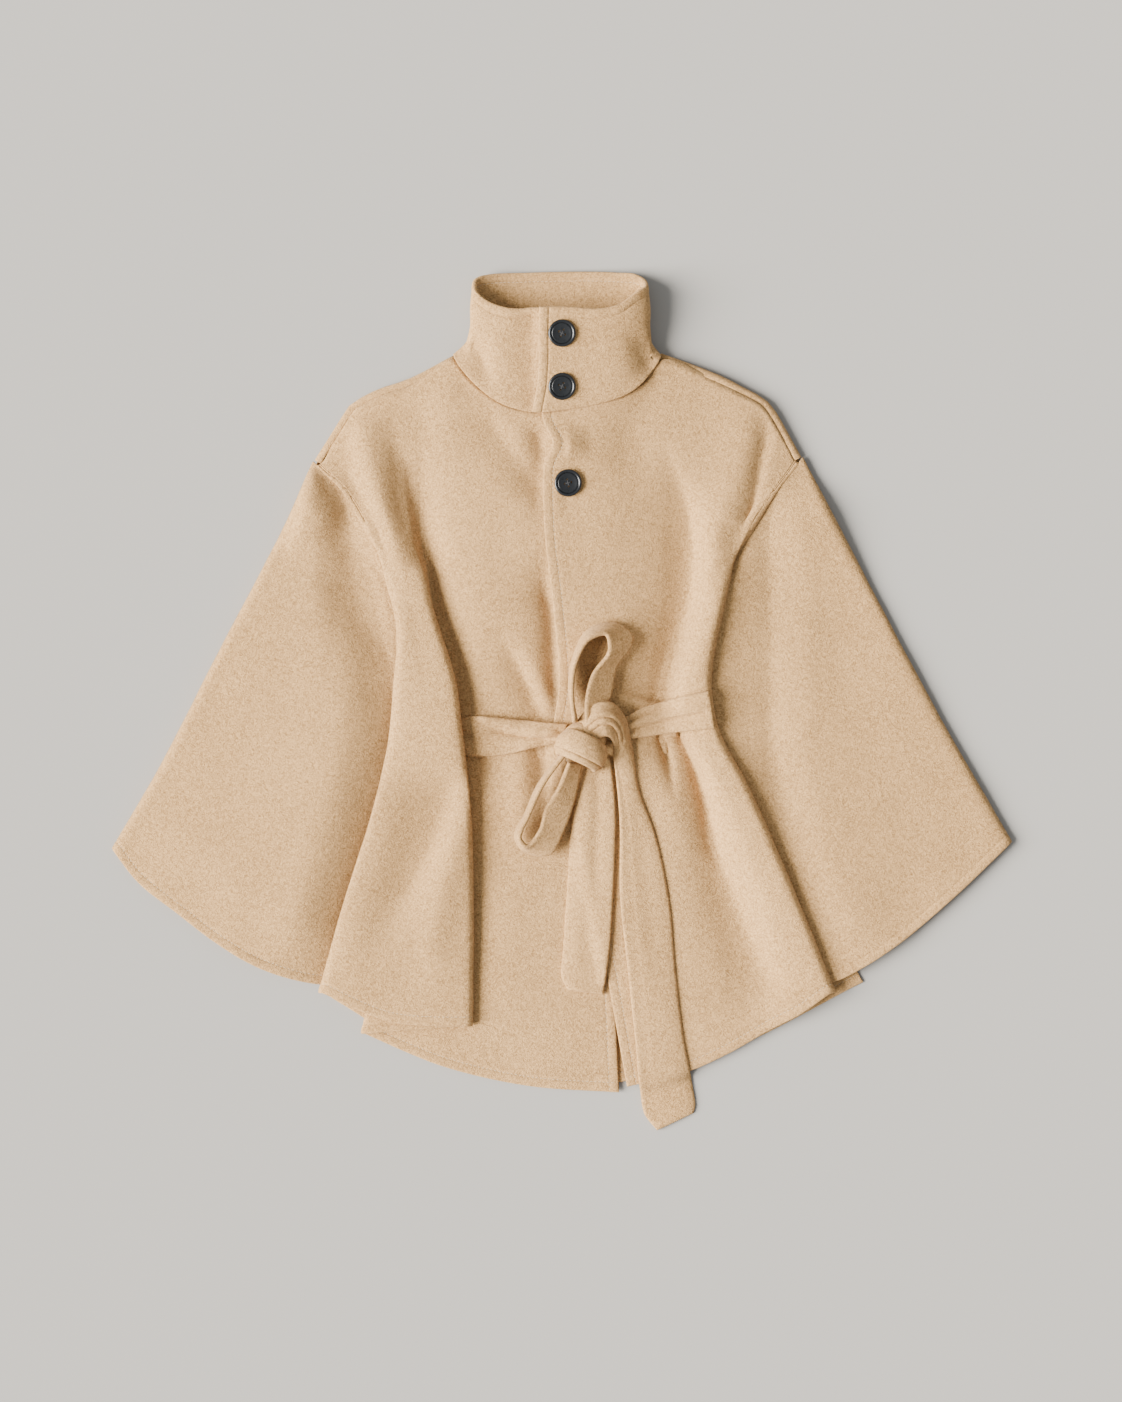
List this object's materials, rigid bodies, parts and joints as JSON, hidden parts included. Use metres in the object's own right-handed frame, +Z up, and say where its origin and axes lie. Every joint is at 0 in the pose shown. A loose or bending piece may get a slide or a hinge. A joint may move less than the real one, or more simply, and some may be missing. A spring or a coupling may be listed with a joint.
{
  "type": "wool cape",
  "caption": "Belted wool cape laid flat on its back, with a buttoned stand collar, wide open sleeves and a self-cloth belt tied in a bow.",
  "frame": {"origin": "on the surface the garment lies on, under the middle of its outline", "axes": "+X from the left sleeve to the right sleeve as seen from above, +Y from the hem towards the collar, +Z up from the surface, towards the front of the garment"},
  "size_m": [0.9007, 0.8565, 0.051],
  "materials": {
    "wool_body": "brushed camel wool coating with a short mottled nap",
    "wool_belt": "the same brushed wool, two layers pressed flat, edges slightly rolled",
    "button": "polished near-black resin with four holes"
  },
  "bodies": {
    "root": {"back_panel": "wool_body", "front_left": "wool_body", "front_right": "wool_body", "sleeve_left": "wool_body", "sleeve_right": "wool_body", "collar": "wool_body", "belt_inside": "wool_belt", "belt_left": "wool_belt", "belt_right": "wool_belt", "belt_knot": "wool_belt", "bow_loop_up": "wool_belt", "bow_loop_down": "wool_belt", "belt_tail_short": "wool_belt", "belt_tail_long": "wool_belt", "button_1": "button", "button_2": "button", "button_3": "button"}
  },
  "joints": []
}
